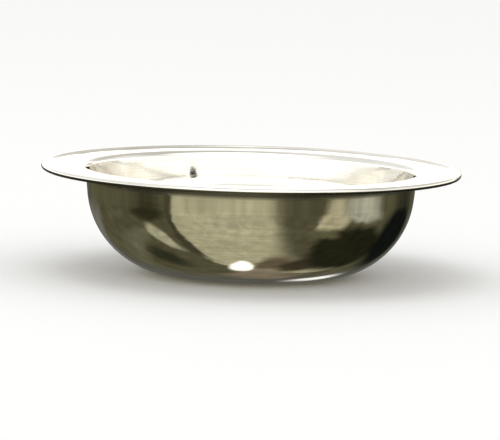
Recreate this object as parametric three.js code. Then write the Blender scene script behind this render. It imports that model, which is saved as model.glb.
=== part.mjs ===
// Round basin in stainless steel: one pressed sheet with a dished bowl, a wide flat rim and an edge
// that is curled down round a stiffening wire. Millimetres, +Z up, origin at the centre of the base.
import * as THREE from 'three';

const { degToRad } = THREE.MathUtils;

// Driving dimensions
const RIM_RADIUS = 150; // to the outside of the curled edge
const HEIGHT = 77.5; // from the base to the top of the curled edge
const SHEET = 0.7; // thickness of the sheet
const BASE_RADIUS = 54; // flat round base
const BOWL_ARC = 63; // outside radius of the round from base to wall
const WALL_LEAN = degToRad(6); // the wall's lean outwards from upright
const SHOULDER_ARC = 3.5; // outside radius of the bend from wall to rim
const BEAD_RISE = 1.2; // the curled edge stands this far above the flat rim
const WIRE_RADIUS = 1; // rim wire
const WIRE_PLAY = 0.35; // clearance between the wire and the sheet round it
const CURL_START = degToRad(144); // where the curl leaves the rim, round the wire from +radius
const CURL_END = degToRad(-162); // where the rolled edge ends, under the rim

// Facets. The curl's are 18 degrees each, so its top and its outermost line are corners.
const SEGMENTS = 56; // round the axis
const BOWL_STEPS = 10;
const SHOULDER_STEPS = 4;
const FILLET_STEPS = 2;
const CURL_STEPS = 17;
const WIRE_SIDES = 10;

const UP = Math.PI / 2;
const RIM_UNDERSIDE = HEIGHT - BEAD_RISE - SHEET;

// The curl goes round the wire. A small hollow fillet carries the rim's top face up into it.
const CURL_RADIUS = WIRE_RADIUS + WIRE_PLAY + SHEET;
const FILLET_ARC = BEAD_RISE / (1 - Math.sin(CURL_START)) - CURL_RADIUS;
const curlCentre = new THREE.Vector2(RIM_RADIUS - CURL_RADIUS, HEIGHT - CURL_RADIUS);
const filletCentre = new THREE.Vector2(
  curlCentre.x + (CURL_RADIUS + FILLET_ARC) * Math.cos(CURL_START),
  curlCentre.y + (CURL_RADIUS + FILLET_ARC) * Math.sin(CURL_START),
);

// The wall is the straight tangent between the round of the bowl and the shoulder.
const bowlCentre = new THREE.Vector2(BASE_RADIUS, BOWL_ARC);
const shoulderHeight = RIM_UNDERSIDE - SHOULDER_ARC;
const wallRise = shoulderHeight - BOWL_ARC + (SHOULDER_ARC + BOWL_ARC) * Math.sin(WALL_LEAN);
const shoulderCentre = new THREE.Vector2(
  BASE_RADIUS + (BOWL_ARC + SHOULDER_ARC) * Math.cos(WALL_LEAN) + wallRise * Math.tan(WALL_LEAN),
  shoulderHeight,
);

// Points of an arc in the (radius, height) plane, from one angle to the other.
function arc(centre, radius, from, to, steps) {
  return Array.from({ length: steps + 1 }, (_, i) => {
    const angle = from + ((to - from) * i) / steps;
    return new THREE.Vector2(centre.x + radius * Math.cos(angle), centre.y + radius * Math.sin(angle));
  });
}

// One face of the sheet, from the middle of the base to the end of the curl. Depth 0 is the face
// underneath and depth SHEET is the face that holds the water; both faces share the bends' centres.
function sheetFace(depth) {
  return [
    new THREE.Vector2(0, depth),
    ...arc(bowlCentre, BOWL_ARC - depth, -UP, -WALL_LEAN, BOWL_STEPS),
    ...arc(shoulderCentre, SHOULDER_ARC + depth, Math.PI - WALL_LEAN, UP, SHOULDER_STEPS),
    ...arc(filletCentre, FILLET_ARC + SHEET - depth, -UP, CURL_START - Math.PI, FILLET_STEPS),
    ...arc(curlCentre, CURL_RADIUS - SHEET + depth, CURL_START, CURL_END, CURL_STEPS).slice(1),
  ];
}

// A solid of revolution about +Z from a closed outline, or one that starts and ends on the axis.
function turned(name, outline, material) {
  const geometry = new THREE.LatheGeometry(outline, SEGMENTS);
  geometry.rotateX(UP);
  const mesh = new THREE.Mesh(geometry, material);
  mesh.name = name;
  return mesh;
}

function basinShell() {
  const steel = new THREE.MeshStandardMaterial({ color: 0xc6c3b4, roughness: 0.16, metalness: 1 });
  const outline = [...sheetFace(0), ...sheetFace(SHEET).reverse()];
  return turned('basin_shell', outline, steel);
}

function rimWire() {
  const steel = new THREE.MeshStandardMaterial({ color: 0xa9a79c, roughness: 0.4, metalness: 1 });
  const outline = arc(curlCentre, WIRE_RADIUS, 0, 2 * Math.PI, WIRE_SIDES);
  return turned('rim_wire', outline, steel);
}

const basin = new THREE.Group();
basin.add(basinShell(), rimWire());

export default basin;
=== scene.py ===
import math

import bmesh
import bpy
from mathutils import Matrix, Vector, noise


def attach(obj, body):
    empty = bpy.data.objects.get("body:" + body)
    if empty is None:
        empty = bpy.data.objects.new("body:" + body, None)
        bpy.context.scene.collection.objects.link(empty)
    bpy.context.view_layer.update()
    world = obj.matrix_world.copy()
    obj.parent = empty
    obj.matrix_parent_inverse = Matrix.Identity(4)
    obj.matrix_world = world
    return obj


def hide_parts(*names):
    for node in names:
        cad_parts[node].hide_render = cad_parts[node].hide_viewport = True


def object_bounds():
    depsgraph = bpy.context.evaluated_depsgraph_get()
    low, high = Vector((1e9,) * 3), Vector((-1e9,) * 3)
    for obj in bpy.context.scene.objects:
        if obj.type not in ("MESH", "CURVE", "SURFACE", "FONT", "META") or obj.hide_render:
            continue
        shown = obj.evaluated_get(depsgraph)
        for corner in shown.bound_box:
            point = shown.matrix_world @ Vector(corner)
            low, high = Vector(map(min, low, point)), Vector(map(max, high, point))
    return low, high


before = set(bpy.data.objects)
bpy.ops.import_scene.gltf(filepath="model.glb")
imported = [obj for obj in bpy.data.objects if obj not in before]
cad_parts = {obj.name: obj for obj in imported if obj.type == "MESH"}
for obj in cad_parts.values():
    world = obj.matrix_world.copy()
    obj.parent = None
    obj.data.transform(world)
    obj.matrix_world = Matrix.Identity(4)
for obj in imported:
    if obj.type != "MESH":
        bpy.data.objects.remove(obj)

cad_low, cad_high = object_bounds()

# ---------------------------------------------------------------- the sheet's sizes
RIM_RADIUS = cad_high.x
HEIGHT = cad_high.z
SHEET = 0.0007
BASE_RADIUS = 0.054
BOWL_ARC = 0.063
WALL_LEAN = math.radians(6)
SHOULDER_ARC = 0.0035
BEAD_RISE = 0.0012
WIRE_RADIUS = 0.001
WIRE_PLAY = 0.00035
CURL_START = math.radians(144)
CURL_END = math.radians(-162)

CURL_RADIUS = WIRE_RADIUS + WIRE_PLAY + SHEET
FILLET_ARC = BEAD_RISE / (1 - math.sin(CURL_START)) - CURL_RADIUS
RIM_UNDERSIDE = HEIGHT - BEAD_RISE - SHEET
UP = math.pi / 2

# ---------------------------------------------------------------- how fine the meshes are
SEGMENTS = 360  # round the axis
ARC_STEP = math.radians(2)  # on the bowl
CURL_STEP = math.radians(7.5)  # on the small bends
FLAT_STEP = 0.004  # along the straight stretches
FLAT_MARGIN = 0.0003  # the first and last step of a straight stretch, so that its shading stays straight

# A real spun sheet is never quite true: it wanders by up to this much, over about this length.
WANDER = 0.00022
WANDER_LENGTH = 0.07
WANDER_SEED = 1
noise.seed_set(WANDER_SEED)


def arc(centre, radius, start, end, step):
    """Points of an arc in the (radius, height) plane."""
    steps = max(2, math.ceil(abs(end - start) / step))
    angles = [start + (end - start) * i / steps for i in range(steps + 1)]
    return [(centre[0] + radius * math.cos(a), centre[1] + radius * math.sin(a)) for a in angles]


def filled_in(points):
    """The same outline with extra points along its long straight stretches."""
    outline = points[:1]
    for (r0, z0), (r1, z1) in zip(points, points[1:]):
        length = math.hypot(r1 - r0, z1 - z0)
        steps = math.ceil(length / FLAT_STEP)
        cuts = [i / steps for i in range(1, steps)]
        if cuts:
            cuts = [FLAT_MARGIN / length, *cuts, 1 - FLAT_MARGIN / length]
        outline += [(r0 + (r1 - r0) * cut, z0 + (z1 - z0) * cut) for cut in [*cuts, 1]]
    return outline


def sheet_bends():
    """Centres of the bowl's round, the shoulder, the small fillet at the rim's edge, and the curl."""
    bowl = (BASE_RADIUS, BOWL_ARC)
    shoulder_z = RIM_UNDERSIDE - SHOULDER_ARC
    rise = shoulder_z - BOWL_ARC + (SHOULDER_ARC + BOWL_ARC) * math.sin(WALL_LEAN)
    shoulder_r = BASE_RADIUS + (BOWL_ARC + SHOULDER_ARC) * math.cos(WALL_LEAN) + rise * math.tan(WALL_LEAN)
    curl = (RIM_RADIUS - CURL_RADIUS, HEIGHT - CURL_RADIUS)
    reach = CURL_RADIUS + FILLET_ARC
    fillet = (curl[0] + reach * math.cos(CURL_START), curl[1] + reach * math.sin(CURL_START))
    return bowl, (shoulder_r, shoulder_z), fillet, curl


def sheet_face(depth):
    """One face of the sheet, from the axis to the end of the curl. Depth 0 is the face underneath."""
    bowl, shoulder, fillet, curl = sheet_bends()
    return filled_in([
        (0, depth),
        *arc(bowl, BOWL_ARC - depth, -UP, -WALL_LEAN, ARC_STEP),
        *arc(shoulder, SHOULDER_ARC + depth, math.pi - WALL_LEAN, UP, CURL_STEP),
        *arc(fillet, FILLET_ARC + SHEET - depth, -UP, CURL_START - math.pi, CURL_STEP),
        *arc(curl, CURL_RADIUS - SHEET + depth, CURL_START, CURL_END, CURL_STEP)[1:],
    ])


def wandered(point):
    """Moves a point with the slow unevenness of the sheet. The base stays flat on its floor."""
    hold = min(1, point.z / (HEIGHT / 2))
    return point + noise.noise_vector(point / WANDER_LENGTH) * WANDER * hold


def turned(name, outline, closed):
    """A mesh of revolution about Z. An open outline starts and ends on the axis."""
    shape = bmesh.new()
    turns = [2 * math.pi * i / SEGMENTS for i in range(SEGMENTS)]
    rings = []
    for radius, height in outline:
        if radius == 0:
            rings.append([shape.verts.new((0, 0, height))] * SEGMENTS)
            continue
        ring = [Vector((radius * math.cos(t), radius * math.sin(t), height)) for t in turns]
        rings.append([shape.verts.new(wandered(p)) for p in ring])
    pairs = list(zip(rings, rings[1:]))
    if closed:
        pairs.append((rings[-1], rings[0]))
    for inner, outer in pairs:
        for i in range(SEGMENTS):
            j = (i + 1) % SEGMENTS
            corners = list(dict.fromkeys([inner[i], inner[j], outer[j], outer[i]]))
            shape.faces.new(corners).smooth = True
    bmesh.ops.recalc_face_normals(shape, faces=shape.faces)
    mesh = bpy.data.meshes.new(name)
    shape.to_mesh(mesh)
    shape.free()
    piece = bpy.data.objects.new(name, mesh)
    bpy.context.scene.collection.objects.link(piece)
    return piece


# ---------------------------------------------------------------- materials
POLISHED = (0.73, 0.715, 0.675)
SMUDGED = (0.67, 0.65, 0.6)
RINGED = (0.58, 0.565, 0.53)
# Painted shade: near black, far darker than dull steel, for the corner under the rim and the curl's
# underside.
UNPOLISHED_AND_PAINTED_SHADE = (0.1, 0.096, 0.076)
WIRE_LIGHT = (0.5, 0.49, 0.46)
WIRE_DARK = (0.38, 0.37, 0.35)

# How rough the steel is, and what smudges, rings and a missed polish add to that.
SHINE = 0.04
SMUDGE_ROUGHNESS = 0.06
RING_ROUGHNESS = 0.04
UNPOLISHED_ROUGHNESS = 0.3
WIRE_ROUGHNESS = (0.3, 0.5)

# Polishing on a lathe stretches the highlights: by how much, and which way, as a share of a full turn.
STRETCH = 0.4
STRETCH_TURN = 0.25

# How many of each mark there are to a metre.
RINGS = 900.0
BROAD_RINGS = 110.0
WAVES = 17.0
SMUDGES = 26.0
SPECKS = 420.0
WIRE_MARKS = 300.0

# The noise, from 0 to 1, at which each mark starts to show, and at which it shows in full.
SMUDGE_TINTS = (0.35, 0.7)
SMUDGE_DULLS = (0.4, 0.75)
RING_TINTS = (0.4, 0.75)
RING_DULLS = (0.45, 0.8)
WIRE_MARK_DULLS = (0.3, 0.7)
RING_TINT_SHARE = 0.5

# How deep the surface's unevenness is.
WAVE_DEPTH = 0.001
BROAD_RING_DEPTH = 0.000048
RING_DEPTH = 0.000004
SPECK_DEPTH = 0.00001
WIRE_MARK_DEPTH = 0.00003

# Painted shade, on steel the polishing wheel doesn't reach: the corner under the rim, fading in between
# these two distances below it, and the underside of the curl. Their colour is much darker than such steel
# is: painted shade, so that a dark line shows under the rim, as the shadow over a carrying ring would.
CORNER_START = 0.0105
CORNER_END = 0.0065
CORNER_SHARE = 0.97
OUTWARDS = 0.01  # a face's outward lean times its distance from the axis, once it counts as facing out
SHOULDER_FADE = 0.001
CURL_FADE_START = 0.004
CURL_FADE_END = 0.003
CURL_MIDDLE_FADE = 0.0003


class Nodes:
    """Short names for the shader nodes that the materials and the surroundings use."""

    def __init__(self, tree):
        self.tree = tree

    def new(self, kind, inputs=(), **settings):
        node = self.tree.nodes.new(kind)
        for key, value in settings.items():
            setattr(node, key, value)
        for key, value in dict(inputs).items():
            self.feed(node.inputs[key], value)
        return node

    def feed(self, socket, value):
        """Links a socket to another node's output, or sets its value."""
        if isinstance(value, bpy.types.NodeSocket):
            self.tree.links.new(value, socket)
        else:
            socket.default_value = value

    def math(self, operation, *values):
        return self.new("ShaderNodeMath", enumerate(values), operation=operation).outputs[0]

    def product(self, first, second):
        return self.math("MULTIPLY", first, second)

    def vector(self, operation, *values):
        return self.new("ShaderNodeVectorMath", enumerate(values), operation=operation)

    def scaled(self, vector, factor):
        return self.new("ShaderNodeVectorMath", {0: vector, "Scale": factor}, operation="SCALE").outputs[0]

    def split(self, vector):
        return self.new("ShaderNodeSeparateXYZ", {0: vector}).outputs

    def joined(self, *parts):
        return self.new("ShaderNodeCombineXYZ", enumerate(parts)).outputs[0]

    def length(self, *parts):
        squares = [self.product(part, part) for part in parts]
        return self.math("SQRT", self.math("ADD", *squares))

    def noise(self, where, scale, detail, roughness=0.5):
        wanted = {"Vector": where, "Scale": scale, "Detail": detail, "Roughness": roughness}
        return self.new("ShaderNodeTexNoise", wanted).outputs["Fac"]

    def ramp(self, value, low, high, to_low=0.0, to_high=1.0):
        """value from low to high becomes to_low to to_high, smoothly, and stays there outside."""
        wanted = {0: value, 1: low, 2: high, 3: to_low, 4: to_high}
        return self.new("ShaderNodeMapRange", wanted, interpolation_type="SMOOTHSTEP").outputs[0]

    def mix(self, share, first, second):
        """A colour: the first where share is 0, the second where it is 1."""
        node = self.new("ShaderNodeMix", {"Factor": share}, data_type="RGBA")
        for socket, value in ((node.inputs[6], first), (node.inputs[7], second)):
            self.feed(socket, (*value, 1) if isinstance(value, tuple) else value)
        return node.outputs[2]

    def bump(self, height, distance, normal=None):
        wanted = {"Height": height, "Distance": distance}
        if normal is not None:
            wanted["Normal"] = normal
        return self.new("ShaderNodeBump", wanted).outputs[0]


def unpolished_and_painted_shade(n, place, radius, spoke):
    """Painted shade with a duller polish: 1 on the curl's underside and in the corner under the rim, 0
    elsewhere.
    """
    _, (shoulder_r, _), _, (curl_r, curl_z) = sheet_bends()
    near_curl = n.ramp(radius, curl_r - CURL_FADE_START, curl_r - CURL_FADE_END)
    below_middle = n.ramp(place[2], curl_z - CURL_MIDDLE_FADE, curl_z + CURL_MIDDLE_FADE, 1.0, 0.0)
    curl = n.product(near_curl, below_middle)

    # Only the outside of the basin has that corner, and a face there looks away from the axis.
    facing = n.new("ShaderNodeNewGeometry").outputs["Normal"]
    outwards = n.ramp(n.vector("DOT_PRODUCT", facing, spoke).outputs["Value"], 0.0, OUTWARDS)
    within_shoulder = n.ramp(radius, shoulder_r, shoulder_r + SHOULDER_FADE, 1.0, 0.0)
    under_rim = n.ramp(place[2], RIM_UNDERSIDE - CORNER_START, RIM_UNDERSIDE - CORNER_END)
    corner = n.product(under_rim, n.product(outwards, within_shoulder))
    return n.math("MAXIMUM", curl, n.product(corner, CORNER_SHARE))


def polished_steel():
    """Stainless sheet, polished on a lathe: turning rings, slow waves, smudges and fine specks."""
    material = bpy.data.materials.new("polished_sheet")
    material.use_nodes = True
    n = Nodes(material.node_tree)
    shader = material.node_tree.nodes["Principled BSDF"]
    shader.inputs["Metallic"].default_value = 1
    shader.inputs["Anisotropic"].default_value = STRETCH
    shader.inputs["Anisotropic Rotation"].default_value = STRETCH_TURN
    round_axis = n.new("ShaderNodeTangent", direction_type="RADIAL", axis="Z").outputs[0]
    n.feed(shader.inputs["Tangent"], round_axis)

    whole_place = n.new("ShaderNodeTexCoord").outputs["Object"]
    place = n.split(whole_place)
    radius = n.length(place[0], place[1])
    lathe = n.joined(radius, place[2])
    rings = n.noise(lathe, RINGS, detail=2.0)
    broad_rings = n.noise(lathe, BROAD_RINGS, detail=1.0)
    waves = n.noise(whole_place, WAVES, detail=1.5)
    smudges = n.noise(whole_place, SMUDGES, detail=4.0, roughness=0.6)
    specks = n.noise(whole_place, SPECKS, detail=2.0)
    shade_and_missed_polish = unpolished_and_painted_shade(n, place, radius, n.joined(place[0], place[1]))

    tint = n.mix(n.ramp(smudges, *SMUDGE_TINTS), POLISHED, SMUDGED)
    tint = n.mix(n.ramp(rings, *RING_TINTS, 0.0, RING_TINT_SHARE), tint, RINGED)
    # Painted shade: the curl's underside and the corner under the rim go nearly black.
    tint = n.mix(shade_and_missed_polish, tint, UNPOLISHED_AND_PAINTED_SHADE)
    n.feed(shader.inputs["Base Color"], tint)

    roughness = n.ramp(smudges, *SMUDGE_DULLS, SHINE, SHINE + SMUDGE_ROUGHNESS)
    roughness = n.math("ADD", roughness, n.ramp(rings, *RING_DULLS, 0.0, RING_ROUGHNESS))
    roughness = n.math("ADD", roughness, n.product(shade_and_missed_polish, UNPOLISHED_ROUGHNESS))
    n.feed(shader.inputs["Roughness"], roughness)

    normal = n.bump(waves, WAVE_DEPTH)
    normal = n.bump(broad_rings, BROAD_RING_DEPTH, normal)
    normal = n.bump(rings, RING_DEPTH, normal)
    normal = n.bump(specks, SPECK_DEPTH, normal)
    n.feed(shader.inputs["Normal"], normal)
    return material


def wire_steel():
    """Drawn wire: duller than the sheet, with fine marks."""
    material = bpy.data.materials.new("drawn_wire")
    material.use_nodes = True
    n = Nodes(material.node_tree)
    shader = material.node_tree.nodes["Principled BSDF"]
    shader.inputs["Metallic"].default_value = 1
    marks = n.noise(n.new("ShaderNodeTexCoord").outputs["Object"], WIRE_MARKS, detail=4.0)
    n.feed(shader.inputs["Base Color"], n.mix(marks, WIRE_LIGHT, WIRE_DARK))
    n.feed(shader.inputs["Roughness"], n.ramp(marks, *WIRE_MARK_DULLS, *WIRE_ROUGHNESS))
    n.feed(shader.inputs["Normal"], n.bump(marks, WIRE_MARK_DEPTH))
    return material


# ---------------------------------------------------------------- the pieces
basin = turned("basin_sheet", sheet_face(0) + sheet_face(SHEET)[::-1], closed=False)
basin.data.materials.append(polished_steel())
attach(basin, "root")
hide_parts("basin_shell")

curl_centre = sheet_bends()[3]
wire = turned("edge_wire", arc(curl_centre, WIRE_RADIUS, 0, 2 * math.pi, CURL_STEP)[:-1], closed=True)
wire.data.materials.append(wire_steel())
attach(wire, "root")
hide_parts("rim_wire")


# ---------------------------------------------------------------- the studio
FLOOR_SIZE = 80
FLOOR_COLOUR = (0.8, 0.8, 0.8, 1)
FLOOR_ROUGHNESS = 0.9
FLOOR_SHEEN = 0.1
FLOOR_TONE = (0.9, 0.9, 0.89)  # how bright the floor comes out, for where the room goes on past it
ROOM_LIGHT = (1.06, 1.06, 1.05)  # the even light that falls on the floor

# What the polished steel mirrors is painted on a sphere round it, in colours of light. It isn't a real
# room: its patches and colours were chosen so that the basin looks as it does in its photograph,
# and in a plain white room the same steel comes out pale grey. Ovals on that sphere are given by the way
# they lie (degrees round from the camera's side, + to the camera's right), their height above the horizon,
# half their width and height in degrees, and how soft their edge is.
#
# Below the horizon lies a dim room with an olive floor, lit in its middle.
DIM_FLOOR = (0.11, 0.102, 0.056)
LIT_FLOOR = (0.55, 0.52, 0.335)
ROOM_PATCHES = [
    ("back wall", (180, -24, 20, 32, 0.5), (0.12, 0.118, 0.1)),
    ("left shelf", (-120, -38, 36, 6, 0.6), (0.17, 0.165, 0.1)),
    ("left cloth", (-86, -46, 9, 14, 0.3), (0.5, 0.48, 0.32)),
    ("left corner", (-82, -21, 15, 7, 0.4), (0.04, 0.037, 0.018)),
    ("left floor", (-128, -55, 17, 9, 0.5), (0.035, 0.036, 0.02)),
    ("left skirting", (-158, -15, 14, 5, 0.5), (0.2, 0.19, 0.165)),
    ("right panel", (66, -27, 13, 13, 0.25), (0.52, 0.475, 0.3)),
    ("right shelf", (92, -18, 18, 6, 0.4), (0.5, 0.485, 0.37)),
    ("under right", (118, -79, 70, 8, 0.4), (0.15, 0.12, 0.075)),
    ("right floor", (128, -67, 34, 8, 0.4), (0.06, 0.052, 0.03)),
    ("right black", (108, -47, 42, 19, 0.18), (0.02, 0.02, 0.01)),
    ("far right black", (143, -23, 22, 15, 0.3), (0.007, 0.009, 0.007)),
    ("right streak", (68, -41, 12, 4, 0.7), (0.14, 0.13, 0.07)),
    ("far right floor", (174, -64, 17, 14, 0.4), (0.29, 0.235, 0.165)),
    ("far lamp", (171, -35, 4, 6, 0.6), (1.3, 1.3, 1.25)),
]

# The lit floor's left edge is straight, with a dark strip along it. A direction's slant says how far it
# lies across that edge. To the right the lit floor fades out.
SLANT = (0.69, -0.724, 0)
LIT_FROM = -0.24
LIT_FULL = -0.2
LIT_FADES = 0.17
LIT_ENDS = 0.42
STRIP_AT = -0.215
STRIP_DARK = 0.022
STRIP_ENDS = 0.06
STRIP_COLOUR = (0.07, 0.065, 0.035)
AHEAD_BLUR = 0.1

# Everything below the horizon has edges that are bent a little, so that none is a perfect oval, and upright
# and lying streaks, so that no patch is one flat tone.
BEND = 0.12
BENDS = 5.0
UPRIGHT_SQUASH = 0.25
UPRIGHT_STREAKS = 11.0
UPRIGHT_TONES = (0.88, 1.12)
LYING_STRETCH = 6.0
LYING_STREAKS = 2.2
LYING_TONES = (0.86, 1.12)
STREAK_NOISE = (0.3, 0.7)

# A lamp on the floor, nearly straight below, shows as the small highlight on the bowl's underside. It is
# given by the X and Y of the directions to it, and half its size the same way.
FLOOR_LAMP = (-0.055, 0.155)
FLOOR_LAMP_SIZE = (0.075, 0.19)
FLOOR_LAMP_EDGE = (0.45, 1.5)
FLOOR_LAMP_COLOUR = (2.0, 1.96, 1.8)

# Above the horizon lies a studio: white walls, creamier on the right, a band of light along their top, a
# pale grey ceiling that is darkest overhead, a few panels, and one dark stand.
WALL_COLOUR = (1.75, 1.75, 1.7)
CREAM_WALL = ((110, 5, 95, 40, 0.3), (1.75, 1.69, 1.53))
BAND_FROM = 7.5
BAND_FULL = 9.5
BAND_COLOUR = (2.2, 2.17, 2.05)
CEILING_FROM = 12.0
CEILING_FULL = 15.2
CEILING_COLOUR = (1.15, 1.15, 1.13)
DULL_PANEL = ((148, 40, 24, 26, 0.4), (0.85, 0.8, 0.74))
DULL_CORNER = ((158, 4, 9, 7, 0.4), (0.8, 0.73, 0.65))
OVERHEAD_WAY = (0.34, -0.1, 0.935)
OVERHEAD_FROM = 0.72
OVERHEAD_FULL = 0.93
OVERHEAD_COLOUR = (0.75, 0.75, 0.73)
FRONT_PANEL = ((8, 54, 70, 33, 0.3), (2.0, 1.97, 1.87))
STAND = ((40.8, 4.6, 2.5, 1.5, 0.25), (0.04, 0.04, 0.035))
HORIZON_BLUR = 0.015


def pale_floor():
    """A plain floor that takes the basin's shadow, and that the steel doesn't mirror."""
    bpy.ops.mesh.primitive_plane_add(size=FLOOR_SIZE)
    floor = bpy.context.object
    floor.name = "floor"
    material = bpy.data.materials.new("pale_floor")
    material.use_nodes = True
    shader = material.node_tree.nodes["Principled BSDF"]
    shader.inputs["Base Color"].default_value = FLOOR_COLOUR
    shader.inputs["Roughness"].default_value = FLOOR_ROUGHNESS
    shader.inputs["Specular IOR Level"].default_value = FLOOR_SHEEN
    floor.data.materials.append(material)
    floor.visible_glossy = False


def angles(n, way):
    """How far round from the camera's side a direction lies, and how far above the horizon, in degrees."""
    side = n.math("DEGREES", n.math("ARCTAN2", way[0], n.product(way[1], -1.0)))
    return side, n.math("DEGREES", n.math("ARCSINE", way[2]))


def oval(n, seen_at, place):
    """1 inside an oval on the sphere and 0 outside it."""
    side, level, half_width, half_height, soft = (float(part) for part in place)
    round_to = n.math("WRAP", n.math("SUBTRACT", seen_at[0], side), 180.0, -180.0)
    across = n.math("DIVIDE", round_to, half_width)
    up = n.math("DIVIDE", n.math("SUBTRACT", seen_at[1], level), half_height)
    return n.ramp(n.length(across, up), 1 - soft, 1 + soft, 1.0, 0.0)


def dim_room(n, direction):
    """The colours below the horizon."""
    wanted = {"Vector": direction, "Scale": BENDS, "Detail": 3.0}
    uneven = n.new("ShaderNodeTexNoise", wanted).outputs["Color"]
    shift = n.vector("SUBTRACT", uneven, (0.5, 0.5, 0.5)).outputs[0]
    bent = n.vector("ADD", direction, n.scaled(shift, BEND)).outputs[0]
    bent = n.vector("NORMALIZE", bent).outputs[0]
    east, north, height = n.split(bent)
    seen_at = angles(n, (east, north, height))

    slant = n.vector("DOT_PRODUCT", bent, SLANT).outputs["Value"]
    lit = n.product(n.ramp(slant, LIT_FROM, LIT_FULL), n.ramp(east, LIT_FADES, LIT_ENDS, 1.0, 0.0))
    colour = n.mix(lit, DIM_FLOOR, LIT_FLOOR)
    for _, place, shade in ROOM_PATCHES:
        colour = n.mix(oval(n, seen_at, place), colour, shade)
    from_strip = n.math("ABSOLUTE", n.math("SUBTRACT", slant, STRIP_AT))
    ahead = n.ramp(north, -AHEAD_BLUR, AHEAD_BLUR, 1.0, 0.0)
    strip = n.product(n.ramp(from_strip, STRIP_DARK, STRIP_ENDS, 1.0, 0.0), ahead)
    colour = n.mix(strip, colour, STRIP_COLOUR)

    upright = n.noise(n.joined(east, north, n.product(height, UPRIGHT_SQUASH)), UPRIGHT_STREAKS, detail=3.0)
    lying = n.noise(n.joined(east, north, n.product(height, LYING_STRETCH)), LYING_STREAKS, detail=4.0)
    upright = n.ramp(upright, *STREAK_NOISE, *UPRIGHT_TONES)
    lying = n.ramp(lying, *STREAK_NOISE, *LYING_TONES)
    colour = n.scaled(colour, n.product(upright, lying))

    way = n.split(direction)
    lamp = [n.math("DIVIDE", n.math("SUBTRACT", way[i], FLOOR_LAMP[i]), FLOOR_LAMP_SIZE[i]) for i in (0, 1)]
    from_lamp = n.math("ADD", *(n.product(part, part) for part in lamp))
    return n.mix(n.ramp(from_lamp, *FLOOR_LAMP_EDGE, 1.0, 0.0), colour, FLOOR_LAMP_COLOUR)


def white_studio(n, direction):
    """The colours above the horizon."""
    seen_at = angles(n, n.split(direction))
    level = seen_at[1]

    def with_ovals(colour, *ovals):
        for place, shade in ovals:
            colour = n.mix(oval(n, seen_at, place), colour, shade)
        return colour

    colour = with_ovals(WALL_COLOUR, CREAM_WALL)
    colour = n.mix(n.ramp(level, BAND_FROM, BAND_FULL), colour, BAND_COLOUR)
    colour = n.mix(n.ramp(level, CEILING_FROM, CEILING_FULL), colour, CEILING_COLOUR)
    colour = with_ovals(colour, DULL_PANEL, DULL_CORNER)
    overhead = n.vector("DOT_PRODUCT", direction, OVERHEAD_WAY).outputs["Value"]
    colour = n.mix(n.ramp(overhead, OVERHEAD_FROM, OVERHEAD_FULL), colour, OVERHEAD_COLOUR)
    return with_ovals(colour, FRONT_PANEL, STAND)


def surroundings():
    """What the steel mirrors, and the even light on the floor."""
    world = bpy.data.worlds.new("surroundings")
    bpy.context.scene.world = world
    world.use_nodes = True
    n = Nodes(world.node_tree)
    direction = n.new("ShaderNodeTexCoord").outputs["Generated"]
    above = n.ramp(n.split(direction)[2], -HORIZON_BLUR, HORIZON_BLUR)
    colour = n.mix(above, dim_room(n, direction), white_studio(n, direction))

    # Only the steel mirrors all that. The floor is lit evenly, and past the floor its own tone goes on.
    rays = n.new("ShaderNodeLightPath").outputs
    colour = n.mix(rays["Is Diffuse Ray"], colour, ROOM_LIGHT)
    colour = n.mix(rays["Is Camera Ray"], colour, FLOOR_TONE)
    n.feed(world.node_tree.nodes["Background"].inputs["Color"], colour)


def softbox(name, place, aim, size, watts):
    """A soft lamp that lights the floor and casts the basin's shadow, and that the steel doesn't mirror."""
    light = bpy.data.lights.new(name, "AREA")
    light.shape = "RECTANGLE"
    light.size, light.size_y = size
    light.energy = watts
    lamp = bpy.data.objects.new(name, light)
    lamp.location = place
    lamp.visible_glossy = False
    lamp.rotation_euler = (Vector(aim) - Vector(place)).to_track_quat("-Z", "Y").to_euler()
    bpy.context.scene.collection.objects.link(lamp)


def camera(elevation, distance, roll, lens):
    """Nearly level with the rim, from across a room, with a long lens."""
    seen = bpy.data.cameras.new("camera")
    seen.lens = lens
    eye = bpy.data.objects.new("camera", seen)
    aim = Vector((0, 0, HEIGHT / 2))
    eye.location = aim + distance * Vector((0, -math.cos(elevation), math.sin(elevation)))
    turn = (aim - eye.location).to_track_quat("-Z", "Y").to_matrix().to_4x4()
    eye.rotation_euler = turn.to_euler()
    eye.rotation_euler.rotate_axis("Z", roll)
    bpy.context.scene.collection.objects.link(eye)
    bpy.context.scene.camera = eye


pale_floor()
surroundings()
softbox("overhead", place=(-0.5, -0.4, 2.6), aim=(0, 0, 0), size=(1.6, 1.2), watts=10)
camera(elevation=math.radians(6.7), distance=3.14, roll=math.radians(1.5), lens=316)
bpy.context.scene.view_settings.view_transform = "Standard"
